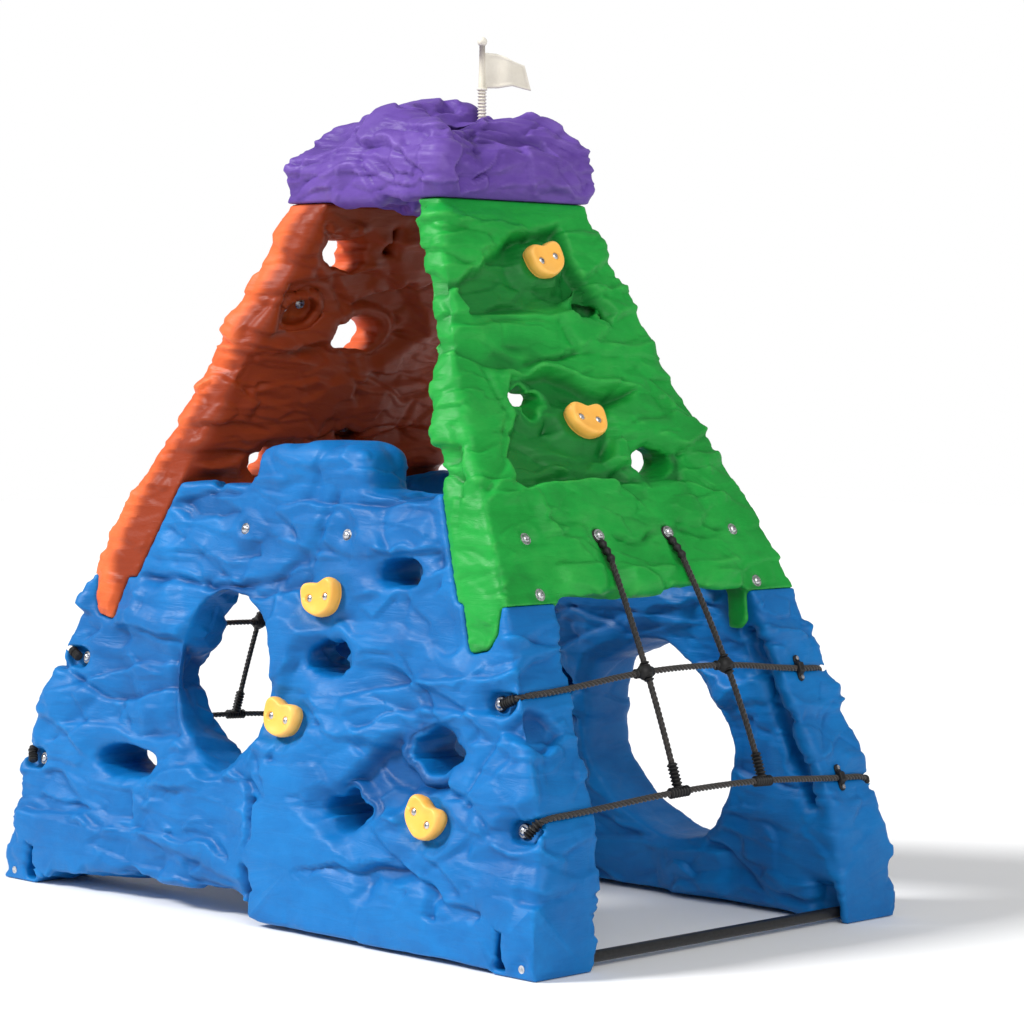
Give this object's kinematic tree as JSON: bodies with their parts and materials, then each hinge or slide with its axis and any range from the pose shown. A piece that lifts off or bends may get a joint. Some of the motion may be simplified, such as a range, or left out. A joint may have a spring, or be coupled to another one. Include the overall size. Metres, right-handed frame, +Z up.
{
  "type": "rock climbing wall",
  "caption": "Free-standing children's climbing wall with four rock-shaped panels leaning to a cap, bolted handholds, rope nets on two sides and a turning flag.",
  "frame": {"origin": "on the floor under the middle of the climber", "axes": "+Z up; -Y out of the front lower wall; +X out of the right upper wall, the first side with a rope net"},
  "size_m": [1.382, 0.8809, 1.5185],
  "materials": {
    "lower_wall_plastic": "rock-textured rotomoulded polyethylene, royal blue",
    "right_wall_plastic": "rock-textured rotomoulded polyethylene, leaf green",
    "left_wall_plastic": "rock-textured rotomoulded polyethylene, burnt orange",
    "cap_plastic": "rock-textured rotomoulded polyethylene, purple",
    "flag_plastic": "ivory injection moulding",
    "tube_paint": "black powder-coated steel",
    "handhold_plastic": "sand-textured yellow moulding",
    "rope_fibre": "black twisted rope with a brown fleck",
    "fitting_plastic": "black ribbed moulding",
    "insert_plastic": "black threaded insert",
    "black_screw": "black screw",
    "bolt_steel": "zinc-plated steel"
  },
  "bodies": {
    "frame": {"anchor_bolts": "bolt_steel", "anchor_washers": "bolt_steel", "back_handhold_1": "handhold_plastic", "back_handhold_2": "handhold_plastic", "back_handhold_3": "handhold_plastic", "back_wall": "lower_wall_plastic", "cap_bolts": "bolt_steel", "clip_screws": "black_screw", "corner_bolts": "bolt_steel", "corner_washers": "bolt_steel", "foot_screws": "bolt_steel", "front_handhold_1": "handhold_plastic", "front_handhold_2": "handhold_plastic", "front_handhold_3": "handhold_plastic", "front_wall": "lower_wall_plastic", "handhold_bolts": "bolt_steel", "handhold_nuts": "bolt_steel", "hanger_bolts": "bolt_steel", "hanger_washers": "bolt_steel", "left_back_cross": "fitting_plastic", "left_back_hanger_rope": "rope_fibre", "left_back_tee": "fitting_plastic", "left_floor_tube": "tube_paint", "left_front_cross": "fitting_plastic", "left_front_hanger_rope": "rope_fibre", "left_front_tee": "fitting_plastic", "left_handhold_1": "handhold_plastic", "left_handhold_2": "handhold_plastic", "left_hanger_eyes": "fitting_plastic", "left_lower_rope": "rope_fibre", "left_rope_clips": "fitting_plastic", "left_rope_ends": "fitting_plastic", "left_upper_rope": "rope_fibre", "left_upper_wall": "left_wall_plastic", "panel_bolts": "bolt_steel", "panel_nuts": "bolt_steel", "panel_washers": "bolt_steel", "right_back_cross": "fitting_plastic", "right_back_hanger_rope": "rope_fibre", "right_back_tee": "fitting_plastic", "right_floor_tube": "tube_paint", "right_front_cross": "fitting_plastic", "right_front_hanger_rope": "rope_fibre", "right_front_tee": "fitting_plastic", "right_handhold_1": "handhold_plastic", "right_handhold_2": "handhold_plastic", "right_hanger_eyes": "fitting_plastic", "right_lower_rope": "rope_fibre", "right_rope_clips": "fitting_plastic", "right_rope_ends": "fitting_plastic", "right_upper_rope": "rope_fibre", "right_upper_wall": "right_wall_plastic", "summit_cap": "cap_plastic", "tube_inserts": "insert_plastic"},
    "flag": {"flag": "flag_plastic"}
  },
  "joints": [
    {"name": "flag_turn", "type": "hinge", "parent": "frame", "child": "flag", "pos_m": [0.075, 0.036, 1.367], "axis": [0, 0, 1], "continuous": true}
  ]
}
